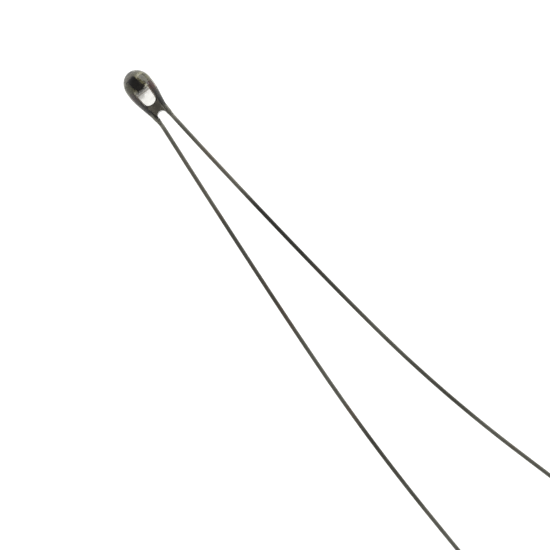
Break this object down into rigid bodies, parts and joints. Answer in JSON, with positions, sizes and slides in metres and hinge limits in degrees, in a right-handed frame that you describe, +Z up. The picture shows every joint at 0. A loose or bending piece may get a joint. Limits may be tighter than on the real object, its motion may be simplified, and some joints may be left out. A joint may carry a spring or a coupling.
{
  "type": "bead thermistor",
  "caption": "Glass-sealed bead thermistor: a drop-shaped glass bead round a sensing chip, with two long bare leads that spread apart.",
  "frame": {"origin": "centre of the bead's short round stretch, on the bead's axis", "axes": "+Y along the bead's axis towards its domed tip, the leads run towards -Y; +Z up, away from the surface that the bead and the two lead tips rest on; +X across the two leads, so right_lead is at +X"},
  "size_m": [0.0165, 0.0662, 0.0018],
  "materials": {
    "sealing_glass": "fire-polished sealing glass with a grey-green tint",
    "oxide_ceramic": "matt sintered oxide, near black",
    "fired_silver": "matt fired silver film",
    "silver_paste": "grainy cured silver paste, dulled by the glass seal",
    "lead_wire": "drawn copper-clad nickel-iron wire, tarnished grey-brown, copper red inside the glass"
  },
  "bodies": {
    "root": {"glass_body": "sealing_glass", "thermistor_chip": "oxide_ceramic", "left_electrode_film": "fired_silver", "right_electrode_film": "fired_silver", "left_bond": "silver_paste", "right_bond": "silver_paste", "left_lead": "lead_wire", "right_lead": "lead_wire"}
  },
  "joints": []
}
